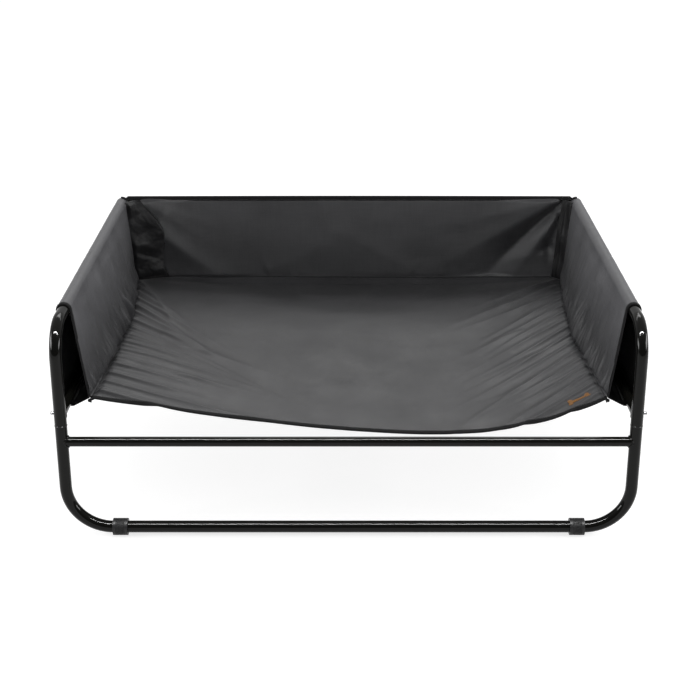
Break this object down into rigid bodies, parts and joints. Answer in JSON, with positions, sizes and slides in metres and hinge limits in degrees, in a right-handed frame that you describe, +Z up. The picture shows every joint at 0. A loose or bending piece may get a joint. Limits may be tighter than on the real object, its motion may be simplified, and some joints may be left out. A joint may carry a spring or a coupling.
{
  "type": "raised dog bed with steel frame",
  "caption": "Raised sling bed for a dog: a cloth hammock with walls on three sides, open at the front, hung on a knock-down frame of bent steel tube.",
  "frame": {"origin": "on the floor, under the middle of the frame", "axes": "+X to the right as seen from the open front, +Y towards the back panel, +Z up"},
  "size_m": [1.062, 0.8916, 0.419],
  "materials": {
    "frame_steel": "gloss black powder coat",
    "foot_plastic": "satin moulded",
    "button_steel": "zinc plated, dulled",
    "spring_steel": "bright spring steel",
    "sling_cloth": "coated plain-weave polyester",
    "edge_tape": "woven tape",
    "hook_tape": "hook-and-loop tape"
  },
  "bodies": {
    "frame": {"front_floor_loop": "frame_steel", "rear_floor_loop": "frame_steel", "front_mid_rail": "frame_steel", "rear_mid_rail": "frame_steel", "left_side_hoop": "frame_steel", "right_side_hoop": "frame_steel", "left_side_bar": "frame_steel", "right_side_bar": "frame_steel", "front_left_foot_sleeve": "foot_plastic", "front_right_foot_sleeve": "foot_plastic", "rear_left_foot_sleeve": "foot_plastic", "rear_right_foot_sleeve": "foot_plastic", "front_left_spring": "spring_steel", "front_right_spring": "spring_steel", "rear_left_spring": "spring_steel", "rear_right_spring": "spring_steel", "base_panel": "sling_cloth", "left_inner_wall": "sling_cloth", "right_inner_wall": "sling_cloth", "left_outer_wall": "sling_cloth", "right_outer_wall": "sling_cloth", "left_under_strip": "sling_cloth", "right_under_strip": "sling_cloth", "left_hook_strip": "hook_tape", "right_hook_strip": "hook_tape", "back_panel": "sling_cloth", "left_corner_gusset": "sling_cloth", "right_corner_gusset": "sling_cloth", "back_binding": "edge_tape", "front_binding": "edge_tape", "left_wall_binding": "edge_tape", "right_wall_binding": "edge_tape"},
    "front_left_button": {"front_left_button": "button_steel"},
    "front_right_button": {"front_right_button": "button_steel"},
    "rear_left_button": {"rear_left_button": "button_steel"},
    "rear_right_button": {"rear_right_button": "button_steel"}
  },
  "joints": [
    {"name": "front_left_button_press", "type": "slide", "parent": "frame", "child": "front_left_button", "axis": [1, 0, 0], "range_m": [0, 0.0075], "stiffness_N_per_m": 1500, "springref_m": -0.001, "deforming": ["front_left_spring"]},
    {"name": "front_right_button_press", "type": "slide", "parent": "frame", "child": "front_right_button", "axis": [-1, 0, 0], "range_m": [0, 0.0075], "stiffness_N_per_m": 1500, "springref_m": -0.001, "deforming": ["front_right_spring"]},
    {"name": "rear_left_button_press", "type": "slide", "parent": "frame", "child": "rear_left_button", "axis": [1, 0, 0], "range_m": [0, 0.0075], "stiffness_N_per_m": 1500, "springref_m": -0.001, "deforming": ["rear_left_spring"]},
    {"name": "rear_right_button_press", "type": "slide", "parent": "frame", "child": "rear_right_button", "axis": [-1, 0, 0], "range_m": [0, 0.0075], "stiffness_N_per_m": 1500, "springref_m": -0.001, "deforming": ["rear_right_spring"]}
  ]
}
